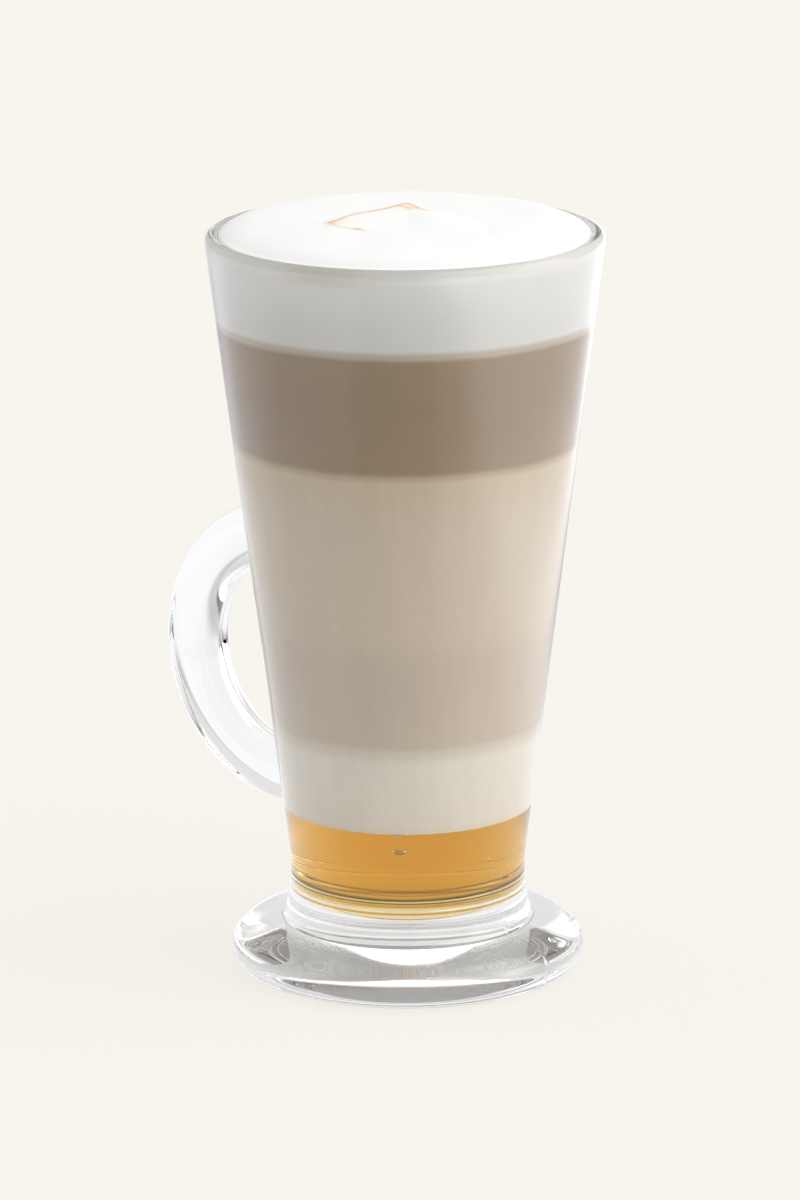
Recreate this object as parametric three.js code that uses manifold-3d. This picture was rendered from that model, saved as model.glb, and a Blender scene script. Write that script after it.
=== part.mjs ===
// A layered latte in a tall footed glass mug.
// Millimetres, +Z up. The mug stands on z = 0 and its handle points along -X.
// The origin is the middle of the footprint of bowl and handle together.
import * as THREE from 'three';
import { mergeVertices } from 'three/addons/utils/BufferGeometryUtils.js';
import Module from 'manifold-3d';

// Bowl: a straight cone from the waist up to a fully rounded rim.
const RIM_HEIGHT = 149.8;
const RIM_RADIUS = 39.6;
const WAIST_HEIGHT = 22.0;
const WAIST_RADIUS = 23.5;
const WALL = 3.0;
const INNER_FLOOR = 13.0;
const INNER_CORNER = 8.0;

// Foot: a low dome with a round edge, a domed recess below, and a hollow fillet up to the waist.
const FOOT_RADIUS = 35.25;
const FOOT_WIDEST_HEIGHT = 4.5;
const FOOT_TOP_RADIUS = 25.7;
const FOOT_TOP_HEIGHT = 10.1;
const STANDING_RING_OUTER = 31.75;
const STANDING_RING_INNER = 19.4;
const RECESS_DEPTH = 3.0;

// Handle: half a ring of oval section, standing on the bowl's outer wall.
const HANDLE_HEIGHT = 60.0;
const HANDLE_RADIUS = 25.8;
const HANDLE_THICKNESS = 11.4;
const HANDLE_WIDTH = 10.4;
const HANDLE_SINK = 1.7;

// Drink: the height of each layer's top where it meets the wall.
const SYRUP_TOP = 33.3;
const MILK_TOP = 50.3;
const LATTE_TOP = 107.2;
const COFFEE_TOP = 132.2;
const FOAM_EDGE = 149.2;
const GAP = 0.3;

// Foam top: a low crown, fuller at its back, and the last spoonful lying on it with its folded edge behind.
const FOAM_CROWN = 2.8;
const CROWN_FULLNESS = 5;
const CROWN_BANK = 6;
const DOLLOP_HALF_WIDTH = 16.0;
const DOLLOP_HEIGHT = 1.2;
const DOLLOP_TURN = THREE.MathUtils.degToRad(38);
const FOLD_START = -3.0;
const FOLD_ARCH = 11.5;
const FOLD_DROP = 2.2;
const DOLLOP_RUN = 11.0;
const TIP_HEIGHT = 0.6;
const TIP_RADIUS = 3.2;

// Fineness of the facets.
const SEGMENTS = 48;
const CURVE_STEPS = 3;
const HANDLE_STEPS = 24;
const HANDLE_SIDES = 10;
const FOAM_RINGS = 12;

// Sizes that follow from the ones above.
const TAPER = (RIM_RADIUS - WAIST_RADIUS) / (RIM_HEIGHT - WAIST_HEIGHT);
const RIM_ROUND = WALL / 2;
const RIM_EDGE = coneRadius(RIM_HEIGHT - RIM_ROUND);
const HANDLE_ROOT = coneRadius(HANDLE_HEIGHT);
const HANDLE_REACH = HANDLE_ROOT + HANDLE_RADIUS + HANDLE_THICKNESS / 2;
const AXIS_X = (HANDLE_REACH - RIM_EDGE) / 2;

const wasm = await Module();
wasm.setup();

function coneRadius(height) {
  return WAIST_RADIUS + (height - WAIST_HEIGHT) * TAPER;
}

function innerRadius(height) {
  return coneRadius(height) - WALL;
}

// Turn an outline of radius and height about the vertical axis.
function turned(outline) {
  return new THREE.LatheGeometry(outline, SEGMENTS).rotateX(Math.PI / 2);
}

function toSolid(geometry) {
  const bare = geometry.clone();
  bare.deleteAttribute('normal');
  bare.deleteAttribute('uv');
  const merged = mergeVertices(bare);
  const corners = merged.index.array;
  const triVerts = [];
  for (let i = 0; i < corners.length; i += 3) {
    const [a, b, c] = corners.slice(i, i + 3);
    if (a !== b && b !== c && c !== a) {
      triVerts.push(a, b, c);
    }
  }
  const mesh = new wasm.Mesh({
    numProp: 3,
    vertProperties: merged.attributes.position.array,
    triVerts: new Uint32Array(triVerts),
  });
  return new wasm.Manifold(mesh);
}

function toGeometry(solid) {
  const { vertProperties, triVerts } = solid.getMesh();
  const geometry = new THREE.BufferGeometry();
  geometry.setAttribute('position', new THREE.BufferAttribute(vertProperties, 3));
  geometry.setIndex(new THREE.BufferAttribute(triVerts, 1));
  geometry.computeVertexNormals();
  return geometry;
}

// Outline of foot and bowl: out under the foot, up the outside, over the rim and down inside.
function bowlOutline() {
  const quarter = Math.PI / 2;
  const cornerHeight = INNER_FLOOR + INNER_CORNER;
  const cornerMiddle = innerRadius(cornerHeight) - INNER_CORNER;
  const path = new THREE.Path();
  path.moveTo(0, RECESS_DEPTH);
  path.absellipse(0, 0, STANDING_RING_INNER, RECESS_DEPTH, quarter, 0, true, 0);
  path.lineTo(STANDING_RING_OUTER, 0);
  path.absellipse(
    STANDING_RING_OUTER, FOOT_WIDEST_HEIGHT,
    FOOT_RADIUS - STANDING_RING_OUTER, FOOT_WIDEST_HEIGHT,
    -quarter, 0, false, 0,
  );
  path.absellipse(
    FOOT_TOP_RADIUS, FOOT_WIDEST_HEIGHT,
    FOOT_RADIUS - FOOT_TOP_RADIUS, FOOT_TOP_HEIGHT - FOOT_WIDEST_HEIGHT,
    0, quarter, false, 0,
  );
  path.absellipse(
    FOOT_TOP_RADIUS, WAIST_HEIGHT,
    FOOT_TOP_RADIUS - WAIST_RADIUS, WAIST_HEIGHT - FOOT_TOP_HEIGHT,
    -quarter, -Math.PI, true, 0,
  );
  path.lineTo(RIM_EDGE, RIM_HEIGHT - RIM_ROUND);
  path.absarc(RIM_EDGE - RIM_ROUND, RIM_HEIGHT - RIM_ROUND, RIM_ROUND, 0, Math.PI, false);
  path.lineTo(innerRadius(cornerHeight), cornerHeight);
  path.absarc(cornerMiddle, cornerHeight, INNER_CORNER, 0, -quarter, true);
  path.lineTo(0, INNER_FLOOR);
  return path.getPoints(CURVE_STEPS);
}

// Half a ring whose ends meet the sloping wall squarely and sink a little into it.
function handleGeometry() {
  const slope = Math.atan(TAPER);
  const sink = HANDLE_SINK / HANDLE_RADIUS;
  const start = -Math.PI / 2 - slope - sink;
  const end = Math.PI / 2 - slope + sink;
  const route = [];
  for (let step = 0; step <= HANDLE_STEPS; step += 1) {
    const angle = start + (end - start) * (step / HANDLE_STEPS);
    const reach = HANDLE_ROOT + HANDLE_RADIUS * Math.cos(angle);
    const height = HANDLE_HEIGHT + HANDLE_RADIUS * Math.sin(angle);
    route.push(new THREE.Vector3(-reach, 0, height));
  }
  const section = new THREE.Shape();
  section.absellipse(0, 0, HANDLE_WIDTH / 2, HANDLE_THICKNESS / 2, 0, 2 * Math.PI, false, 0);
  return new THREE.ExtrudeGeometry(section, {
    steps: HANDLE_STEPS,
    curveSegments: HANDLE_SIDES,
    bevelEnabled: false,
    extrudePath: new THREE.CatmullRomCurve3(route),
  });
}

// Bowl, foot and handle are pressed as one piece of glass.
function glassGeometry() {
  return toGeometry(toSolid(turned(bowlOutline())).add(toSolid(handleGeometry())));
}

// The syrup fills the rounded bottom of the bowl.
function syrupGeometry() {
  const round = INNER_CORNER - GAP;
  const cornerHeight = INNER_FLOOR + INNER_CORNER;
  const cornerMiddle = innerRadius(cornerHeight) - INNER_CORNER;
  const path = new THREE.Path();
  path.moveTo(0, INNER_FLOOR + GAP);
  path.lineTo(cornerMiddle, INNER_FLOOR + GAP);
  path.absarc(cornerMiddle, cornerHeight, round, -Math.PI / 2, 0, false);
  path.lineTo(innerRadius(SYRUP_TOP) - GAP, SYRUP_TOP);
  path.lineTo(0, SYRUP_TOP);
  return turned(path.getPoints(CURVE_STEPS));
}

// A layer of the drink from the one below it up to its own top.
function layerGeometry(below, top) {
  const bottom = below + GAP;
  return turned([
    new THREE.Vector2(0, bottom),
    new THREE.Vector2(innerRadius(bottom) - GAP, bottom),
    new THREE.Vector2(innerRadius(top) - GAP, top),
    new THREE.Vector2(0, top),
  ]);
}

// Height of the foam above its edge: the crown, the dollop up to its fold, and its tip.
function foamRelief(x, y) {
  const across = x * Math.cos(DOLLOP_TURN) + y * Math.sin(DOLLOP_TURN);
  const away = y * Math.cos(DOLLOP_TURN) - x * Math.sin(DOLLOP_TURN);
  const edge = innerRadius(FOAM_EDGE) - GAP;
  const back = THREE.MathUtils.clamp(0.5 + 2 * away / edge, 0, 1);
  const crown = FOAM_CROWN * (1 - (Math.hypot(x, y) / edge) ** (CROWN_FULLNESS + CROWN_BANK * back));
  const arch = Math.max(0, 1 - (across / DOLLOP_HALF_WIDTH) ** 2);
  const past = away - FOLD_START - FOLD_ARCH * arch;
  const run = past > 0 ? FOLD_DROP : DOLLOP_RUN;
  const dollop = DOLLOP_HEIGHT * arch * Math.exp(-((past / run) ** 2));
  const offTip = Math.hypot(across, away - FOLD_START - FOLD_ARCH);
  const tip = TIP_HEIGHT * Math.exp(-((offTip / TIP_RADIUS) ** 2));
  return Math.max(0, crown) + dollop + tip;
}

function foamGeometry() {
  const bottom = COFFEE_TOP + GAP;
  const edge = innerRadius(FOAM_EDGE) - GAP;
  const outline = [
    new THREE.Vector2(0, bottom),
    new THREE.Vector2(innerRadius(bottom) - GAP, bottom),
  ];
  for (let ring = 0; ring <= FOAM_RINGS; ring += 1) {
    outline.push(new THREE.Vector2(edge * (1 - ring / FOAM_RINGS), FOAM_EDGE));
  }
  const geometry = turned(outline);
  const spots = geometry.attributes.position;
  for (let i = 0; i < spots.count; i += 1) {
    const inTop = spots.getZ(i) > (bottom + FOAM_EDGE) / 2;
    const inside = Math.hypot(spots.getX(i), spots.getY(i)) < edge - GAP;
    if (inTop && inside) {
      spots.setZ(i, FOAM_EDGE + foamRelief(spots.getX(i), spots.getY(i)));
    }
  }
  geometry.computeVertexNormals();
  return geometry;
}

const clearGlass = new THREE.MeshStandardMaterial({
  color: 0xf1f3f2, roughness: 0.04, metalness: 0, transparent: true, opacity: 0.35,
});
const caramelSyrup = new THREE.MeshStandardMaterial({ color: 0xd2943f, roughness: 0.1, metalness: 0 });
const steamedMilk = new THREE.MeshStandardMaterial({ color: 0xe9e2d6, roughness: 0.35, metalness: 0 });
const milkyCoffee = new THREE.MeshStandardMaterial({ color: 0xc2b297, roughness: 0.35, metalness: 0 });
const coffee = new THREE.MeshStandardMaterial({ color: 0x8f7a62, roughness: 0.3, metalness: 0 });
const milkFoam = new THREE.MeshStandardMaterial({ color: 0xfaf8f4, roughness: 0.6, metalness: 0 });

const latteInGlass = new THREE.Group();
latteInGlass.position.x = AXIS_X;

function addPart(name, geometry, material) {
  const mesh = new THREE.Mesh(geometry, material);
  mesh.name = name;
  latteInGlass.add(mesh);
}

addPart('glass', glassGeometry(), clearGlass);
addPart('syrup', syrupGeometry(), caramelSyrup);
addPart('milk', layerGeometry(SYRUP_TOP, MILK_TOP), steamedMilk);
addPart('latte', layerGeometry(MILK_TOP, LATTE_TOP), milkyCoffee);
addPart('coffee', layerGeometry(LATTE_TOP, COFFEE_TOP), coffee);
addPart('foam', foamGeometry(), milkFoam);

export default latteInGlass;
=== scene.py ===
"""A layered latte in a tall footed glass mug, on a pale studio floor."""
import math

import bmesh
import bpy
from bpy.props import FloatProperty, FloatVectorProperty, PointerProperty
from mathutils import Matrix, Vector, geometry, noise


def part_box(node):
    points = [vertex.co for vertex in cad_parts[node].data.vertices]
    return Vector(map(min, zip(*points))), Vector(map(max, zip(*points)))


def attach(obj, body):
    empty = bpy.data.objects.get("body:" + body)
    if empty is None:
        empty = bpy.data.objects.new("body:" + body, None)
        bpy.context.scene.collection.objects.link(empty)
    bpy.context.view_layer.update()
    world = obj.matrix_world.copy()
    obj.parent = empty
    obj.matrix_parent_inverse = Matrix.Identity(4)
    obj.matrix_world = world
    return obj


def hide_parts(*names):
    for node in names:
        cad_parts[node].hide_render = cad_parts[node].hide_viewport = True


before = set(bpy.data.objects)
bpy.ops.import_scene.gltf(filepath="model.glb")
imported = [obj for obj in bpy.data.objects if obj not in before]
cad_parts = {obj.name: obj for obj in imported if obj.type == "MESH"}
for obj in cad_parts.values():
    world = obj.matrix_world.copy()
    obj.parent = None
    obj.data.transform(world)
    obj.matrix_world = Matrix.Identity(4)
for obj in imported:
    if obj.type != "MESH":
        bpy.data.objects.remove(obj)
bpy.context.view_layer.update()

bl_info = {
    "name": "Layered latte",
    "version": (1, 0, 0),
    "blender": (4, 5, 0),
    "location": "View3D > Sidebar > Latte",
    "description": "Builds a layered latte in a footed glass mug around its solid model",
    "category": "Object",
}

MM = 0.001
BODY = "root"

# Degrees between the edges of a turned piece, and the angle past which an edge shows as a crease.
TURN_STEP = 1.5
CREASE = 40.0

GLASS_IOR = 1.52
SYRUP_IOR = 1.46
# What all clear materials start from.
POLISHED = {"Base Color": (1.0, 1.0, 1.0, 1.0), "Roughness": 0.0, "Transmission Weight": 1.0}
# Painted reflection: grey that foot and handle mirror in place of the drink, so that their glass stays
# colourless.
DULL = (0.5, 0.5, 0.5, 1.0)

# Places that the solid model gives.
GLASS_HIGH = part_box("glass")[1]
AXIS_X = (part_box("milk")[0].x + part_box("milk")[1].x) / 2
RIM_HEIGHT = GLASS_HIGH.z
RIM_EDGE = GLASS_HIGH.y
LAYER_TOPS = {name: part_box(name)[1].z for name in ("syrup", "milk", "latte", "coffee")}


def linear(code):
    """Linear red, green and blue of an sRGB hex colour."""
    values = [int(code[i:i + 2], 16) / 255 for i in (1, 3, 5)]
    return tuple(v / 12.92 if v <= 0.04045 else ((v + 0.055) / 1.055) ** 2.4 for v in values)


def length(name, description, millimetres):
    """A property that holds a size."""
    return FloatProperty(
        name=name, description=description, default=millimetres * MM, unit="LENGTH", precision=5)


def colour(name, description, code):
    """A property that holds a colour."""
    return FloatVectorProperty(
        name=name, description=description, default=linear(code), subtype="COLOR",
        size=3, min=0.0, max=1.0)


def turning(name, description, radians):
    """A property that holds an angle."""
    return FloatProperty(name=name, description=description, default=radians, subtype="ANGLE")


def number(name, description, value):
    """A property that holds a plain number."""
    return FloatProperty(name=name, description=description, default=value)


class MugSizes(bpy.types.PropertyGroup):
    """Sizes of the pressed glass mug."""
    wall: length("Wall", "Thickness of the bowl's wall", 3.0)
    waist_radius: length("Waist radius", "Radius where bowl and foot meet", 23.5)
    waist_height: length("Waist height", "Height where bowl and foot meet", 22.0)
    inner_floor: length("Inner floor", "Height of the bowl's inside bottom", 13.0)
    inner_corner: length("Inner corner", "Round between inside bottom and wall", 8.0)
    foot_radius: length("Foot radius", "Largest radius of the foot", 35.25)
    foot_widest: length("Foot widest height", "Height where the foot is widest", 4.5)
    foot_top_radius: length("Foot top radius", "Radius where the hollow fillet starts", 25.7)
    foot_top: length("Foot top height", "Height where the hollow fillet starts", 10.1)
    ring_outer: length("Standing ring outside", "Outer radius of the standing ring", 31.75)
    ring_inner: length("Standing ring inside", "Inner radius of the standing ring", 19.4)
    stipple_outer: length("Stipple outside", "Outer radius of the ring's stippled part", 24.0)
    recess: length("Recess", "Depth of the hollow under the foot", 3.0)
    handle_height: length("Handle height", "Height of the handle's middle", 60.0)
    handle_radius: length("Handle radius", "Radius of the handle's half ring", 25.8)
    handle_thickness: length("Handle thickness", "Handle section in its plane", 11.4)
    handle_width: length("Handle width", "Handle section across its plane", 10.4)
    handle_squareness: number("Handle squareness", "Handle section: 2 is an oval, more is squarer", 2.8)
    handle_swell: length("Handle swell", "How much thicker the handle's inner side is at its top", 1.2)
    handle_fillet: length("Handle fillet", "Round between handle and wall", 2.6)
    handle_sink: length("Handle sink", "How far the handle's ends reach into the wall", 2.4)
    seam_height: length("Seam height", "How far the mould seam stands out", 0.12)
    seam_width: length("Seam width", "Half width of the mould seam", 0.35)
    seam_end: length("Seam end", "Height over which the seam fades above the foot", 3.0)


class DrinkSettings(bpy.types.PropertyGroup):
    """Sizes and colours of the layers of the drink."""
    overlap: length("Overlap", "How far the drink reaches into the glass wall", 0.15)
    ripple: length("Ripple", "Unevenness of the faces between layers", 0.12)
    syrup: colour("Syrup", "Light left after a centimetre of syrup", "#F5E1A8")
    milk_low: colour("Milk, low", "Milk beside the syrup", "#F7EFE1")
    milk_high: colour("Milk, high", "Milk beside the milky coffee", "#F7F1E4")
    latte_low: colour("Milky coffee, low", "Milky coffee beside the milk", "#DDCFBC")
    latte_middle: colour("Milky coffee, middle", "Milky coffee half way up", "#E4D6C0")
    latte_high: colour("Milky coffee, high", "Milky coffee under the coffee", "#E5D5B8")
    coffee_low: colour("Coffee, low", "Coffee beside the milky coffee", "#AE9675")
    coffee_high: colour("Coffee, high", "Coffee under the foam", "#AC9473")
    foam: colour("Foam", "Fine milk foam against the glass", "#F6F5F0")
    # Painted shade: the crown's colour is darker than the foam against the glass, as the crown takes the
    # strong light from above.
    foam_crown_shade: colour("Foam top", "Drier milk foam of the crown", "#D5D6D7")
    # Grey at the foam's edge towards the front: partly foam that thins out against the glass, partly painted
    # shade.
    foam_thin_and_shade: colour("Damp foam", "Foam where it thins out against the glass", "#858A90")
    crema: colour("Crema", "Tan streaks in the foam's folds", "#C9A264")


class FoamSizes(bpy.types.PropertyGroup):
    """Sizes of the crown of foam and of the spoonful that lies on it."""
    edge: length("Edge height", "Height where the foam meets the wall", 149.2)
    crown: length("Crown", "How far the foam stands above its edge", 2.8)
    fullness: number("Fullness", "How level the crown stays towards its front edge", 5.0)
    bank: number("Bank", "How much fuller the crown is at its back", 6.0)
    back_lift: length("Back lift", "How much higher the foam's edge stands at the back", 0.7)
    dollop_half_width: length("Dollop half width", "Half the width of the folded edge", 16.0)
    dollop_height: length("Dollop height", "Height of the dollop at its fold", 1.2)
    dollop_run: length("Dollop run", "How far the dollop slopes to the front", 11.0)
    fold_drop: length("Fold drop", "How far the fold slopes at its back", 1.6)
    tip_height: length("Tip height", "Height of the folded tip", 0.6)
    tip_radius: length("Tip radius", "Radius of the folded tip", 3.2)
    line: length("Stain line", "Half width of the tan line along the fold", 0.55)
    turn: turning("Turn", "Turn of the dollop about the mug's axis", math.radians(38))


class StudioSettings(bpy.types.PropertyGroup):
    """Floor, light and camera."""
    floor: colour("Floor", "Colour of the studio floor", "#F7F4ED")
    shade_start: length("Shade start", "Radius round the mug within which the floor is shaded", 30.0)
    azimuth: turning("Camera azimuth", "Turn of the camera about the mug", math.radians(38))
    pitch: turning("Camera pitch", "How far the camera looks down", 0.2525)
    roll: turning("Camera roll", "Turn of the camera about its own view", -0.005)
    distance: length("Camera distance", "Level distance from the mug's axis", 1300.0)
    height: length("Camera height", "Height above the floor", 410.4)
    side: length("Camera offset", "Offset to the right of the mug's axis", -1.3)
    lens: number("Lens", "Focal length in millimetres on a 36 mm frame", 202.2)


def add_node(tree, kind, links=None, **settings):
    """Add a node, set its attributes, and set or link its inputs by name or number."""
    node = tree.nodes.new(kind)
    for name, value in settings.items():
        setattr(node, name, value)
    for name, value in (links or {}).items():
        if isinstance(value, bpy.types.NodeSocket):
            tree.links.new(value, node.inputs[name])
        else:
            node.inputs[name].default_value = value
    return node


def new_material(name):
    """A material with an output node only."""
    material = bpy.data.materials.new(name)
    material.use_nodes = True
    tree = material.node_tree
    tree.nodes.clear()
    output = add_node(tree, "ShaderNodeOutputMaterial")
    return material, tree, output


def per_mm(millimetres):
    """Texture scale that gives features of about this size."""
    return 1.0 / (millimetres * MM)


def wall_slope(mug):
    """How much wider the bowl gets for each step up."""
    return (RIM_EDGE - mug.waist_radius) / (RIM_HEIGHT - mug.wall / 2 - mug.waist_height)


def cone_radius(mug, height):
    """Outer radius of the bowl at a height."""
    return mug.waist_radius + (height - mug.waist_height) * wall_slope(mug)


def inner_radius(mug, height):
    """Inner radius of the bowl at a height."""
    return cone_radius(mug, height) - mug.wall


def corner_centre(mug):
    """Radius and height of the middle of the round between inside bottom and wall."""
    height = mug.inner_floor + mug.inner_corner
    return inner_radius(mug, height) - mug.inner_corner, height


def full_turn(step):
    """Angles of a full turn, so many degrees apart."""
    return [math.radians(count * step) for count in range(round(360 / step))]


def arc(centre, radii, start, end, steps):
    """Points of an ellipse arc in radius and height, angles in degrees."""
    points = []
    for step in range(steps + 1):
        angle = math.radians(start + (end - start) * step / steps)
        points.append((centre[0] + radii[0] * math.cos(angle), centre[1] + radii[1] * math.sin(angle)))
    return points


def stretch(first, last, steps):
    """Points between two points, both ends left out."""
    points = []
    for step in range(1, steps):
        share = step / steps
        points.append(tuple(a + (b - a) * share for a, b in zip(first, last)))
    return points


def run_to(outline, end, steps):
    """Lengthen an outline by a straight run to an end."""
    outline += stretch(outline[-1], end, steps)
    outline.append(end)


def mesh_object(name, mesh):
    """Put a mesh into the scene as a named object."""
    piece = bpy.data.objects.new(name, mesh)
    bpy.context.scene.collection.objects.link(piece)
    return piece


def finish_piece(name, mesh, slot, *nodes, crease=CREASE):
    """Smooth a mesh, tie its piece to the body, and hide the nodes it stands for; its slot is not used."""
    mesh.shade_smooth()
    mesh.set_sharp_from_angle(angle=math.radians(crease))
    piece = mesh_object(name, mesh)
    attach(piece, BODY)
    if nodes:
        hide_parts(*nodes)


def plain_mesh(piece, name):
    """The piece's mesh with its modifiers applied."""
    graph = bpy.context.evaluated_depsgraph_get()
    mesh = bpy.data.meshes.new_from_object(piece.evaluated_get(graph))
    mesh.name = name
    return mesh


def turned_mesh(name, outline, angles, shift=None):
    """Turn an outline that starts and ends on the axis; shift moves a point by its angle."""
    points, faces = [(AXIS_X, 0, outline[0][1])], []
    rings = outline[1:-1]
    for radius, height in rings:
        for angle in angles:
            reach = radius + (shift(radius, height, angle) if shift else 0)
            points.append((AXIS_X + reach * math.cos(angle), reach * math.sin(angle), height))
    points.append((AXIS_X, 0, outline[-1][1]))
    count, last = len(angles), len(points) - 1
    for k in range(count):
        after = (k + 1) % count
        faces.append((0, 1 + after, 1 + k))
        for ring in range(len(rings) - 1):
            low, high = 1 + ring * count, 1 + (ring + 1) * count
            faces.append((low + k, low + after, high + after, high + k))
        top = 1 + (len(rings) - 1) * count
        faces.append((top + k, top + after, last))
    mesh = bpy.data.meshes.new(name)
    mesh.from_pydata(points, [], faces)
    return mesh


def bowl_outline(mug):
    """Outline of foot and bowl: out under the foot, up the outside, over the rim, down inside."""
    rim_round = mug.wall / 2
    rim_low = RIM_HEIGHT - rim_round
    corner = corner_centre(mug)
    corner_edge = (inner_radius(mug, corner[1]), corner[1])
    outline = arc((0.0, 0.0), (mug.ring_inner, mug.recess), 90, 0, 60)
    run_to(outline, (mug.stipple_outer, 0.0), 6)
    outline += stretch((mug.stipple_outer, 0.0), (mug.ring_outer, 0.0), 8)
    outline += arc((mug.ring_outer, mug.foot_widest),
                   (mug.foot_radius - mug.ring_outer, mug.foot_widest), -90, 0, 14)
    outline += arc((mug.foot_top_radius, mug.foot_widest),
                   (mug.foot_radius - mug.foot_top_radius, mug.foot_top - mug.foot_widest),
                   0, 90, 14)[1:]
    outline += arc((mug.foot_top_radius, mug.waist_height),
                   (mug.foot_top_radius - mug.waist_radius, mug.waist_height - mug.foot_top),
                   -90, -180, 22)[1:]
    outline += stretch((mug.waist_radius, mug.waist_height), (RIM_EDGE, rim_low), 20)
    outline += arc((RIM_EDGE - rim_round, rim_low), (rim_round, rim_round), 0, 180, 16)
    outline += stretch((RIM_EDGE - mug.wall, rim_low), corner_edge, 24)
    outline += arc(corner, (mug.inner_corner, mug.inner_corner), 0, -90, 14)
    run_to(outline, (0.0, mug.inner_floor), 6)
    return outline


# Finer steps in degrees across the mould seam, and how many there are to each side.
SEAM_STEP = 0.12
SEAM_STEPS = 12


def bowl_mesh(mug):
    """Bowl and foot, with the mould seam down the foot opposite the handle."""
    fine = [math.radians(count * SEAM_STEP) for count in range(-SEAM_STEPS, SEAM_STEPS + 1)]
    angles = fine + full_turn(TURN_STEP)[1:-1]

    def seam(radius, height, angle):
        turn = (angle + math.pi) % (2 * math.pi) - math.pi
        if radius < mug.ring_outer and height < mug.foot_widest:
            return 0.0
        fade = max(0.0, 1 - max(0.0, height - mug.foot_top) / mug.seam_end)
        return mug.seam_height * fade * math.exp(-(radius * turn / mug.seam_width) ** 2)

    return turned_mesh("bowl", bowl_outline(mug), angles, seam)


def fuller(share, squareness):
    """A circle's cosine or sine made fuller: 2 leaves it round, more makes it square."""
    return math.copysign(abs(share) ** (2 / squareness), share)


# Share of the handle's fillet below which it runs on straight, so that it ends in the wall.
FILLET_END = 0.12


def handle_mesh(mug):
    """Half a ring of rounded oblong section that spreads where it meets the wall."""
    steps, sides = 120, 72
    root = cone_radius(mug, mug.handle_height)
    slope = math.atan(wall_slope(mug))
    sink = mug.handle_sink / mug.handle_radius
    start, end = -math.pi / 2 - slope - sink, math.pi / 2 - slope + sink
    fillet = mug.handle_fillet
    kink = FILLET_END * fillet
    steep = (1 - FILLET_END) / math.sqrt(1 - (1 - FILLET_END) ** 2)

    def spread(distance):
        if distance >= fillet:
            return 0.0
        near = max(distance, kink)
        round_off = fillet * (1 - math.sqrt(1 - (1 - near / fillet) ** 2))
        return round_off + steep * (near - distance)

    points, faces = [], []
    for step in range(steps + 1):
        share = 0.5 - 0.5 * math.cos(math.pi * step / steps)
        angle = start + (end - start) * share
        nearest = min(angle - start, end - angle) * mug.handle_radius - mug.handle_sink
        wall = cone_radius(mug, mug.handle_height + mug.handle_radius * math.sin(angle))
        swell = mug.handle_swell * max(0.0, math.sin(angle))
        for side in range(sides):
            around = 2 * math.pi * side / sides
            radial = fuller(math.cos(around), mug.handle_squareness)
            sideways = fuller(math.sin(around), mug.handle_squareness)
            across = mug.handle_width / 2 * sideways
            recede = wall - math.sqrt(wall ** 2 - across ** 2)
            grow = min(spread(nearest + recede), fillet)
            inner = swell if radial < 0 else 0.0
            out = (mug.handle_thickness / 2 + inner + grow) * radial
            across += grow * sideways
            reach = root + (mug.handle_radius + out) * math.cos(angle)
            height = mug.handle_height + (mug.handle_radius + out) * math.sin(angle)
            points.append((AXIS_X - reach, across, height))
    for step in range(steps):
        for side in range(sides):
            low, high = step * sides, (step + 1) * sides
            after = (side + 1) % sides
            faces.append((low + side, low + after, high + after, high + side))
    faces.append(tuple(range(sides))[::-1])
    faces.append(tuple(range(steps * sides, (steps + 1) * sides)))
    mesh = bpy.data.meshes.new("handle")
    mesh.from_pydata(points, [], faces)
    return mesh


def outward(mesh):
    """Turn all faces of a closed mesh outwards."""
    work = bmesh.new()
    work.from_mesh(mesh)
    bmesh.ops.recalc_face_normals(work, faces=work.faces)
    work.to_mesh(mesh)
    work.free()


def ring_at(tree, height, middle, half_width, full):
    """A value that is full at a height and fades to nought half a width away, both in millimetres."""
    off = add_node(tree, "ShaderNodeMath", {0: height, 1: middle * MM}, operation="SUBTRACT")
    gap = add_node(tree, "ShaderNodeMath", {0: off.outputs[0]}, operation="ABSOLUTE")
    ring = add_node(tree, "ShaderNodeMapRange", {
        "Value": gap.outputs[0], "From Max": half_width * MM, "To Min": full, "To Max": 0.0},
        interpolation_type="SMOOTHSTEP")
    return ring.outputs["Result"]


# Fine mould rings round the waist: height, half width and depth in millimetres.
WAIST_RINGS = ((17.0, 0.5, 0.2), (19.0, 0.35, 0.1))


def pressed_glass():
    """Pressed soda-lime glass, fire polished: clear, with slow waves that bend reflections a little.

    Fine rings from the mould run round its waist.
    """
    material, tree, output = new_material("pressed soda-lime glass")
    place = add_node(tree, "ShaderNodeTexCoord").outputs["Object"]
    waves = add_node(tree, "ShaderNodeTexNoise", {"Vector": place, "Scale": per_mm(14.0), "Detail": 1.0})
    wavy = add_node(tree, "ShaderNodeBump", {
        "Height": waves.outputs["Fac"], "Strength": 0.05, "Distance": 0.2 * MM}).outputs["Normal"]
    height = add_node(tree, "ShaderNodeSeparateXYZ", {"Vector": place}).outputs["Z"]
    for ring, half_width, depth in WAIST_RINGS:
        ridge = ring_at(tree, height, ring, half_width, depth * MM)
        wavy = add_node(tree, "ShaderNodeBump", {
            "Height": ridge, "Strength": 1.0, "Distance": 1.0, "Normal": wavy}).outputs["Normal"]
    shader = add_node(tree, "ShaderNodeBsdfPrincipled", {**POLISHED, "IOR": GLASS_IOR, "Normal": wavy})
    tree.links.new(shader.outputs["BSDF"], output.inputs["Surface"])
    return material


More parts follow.
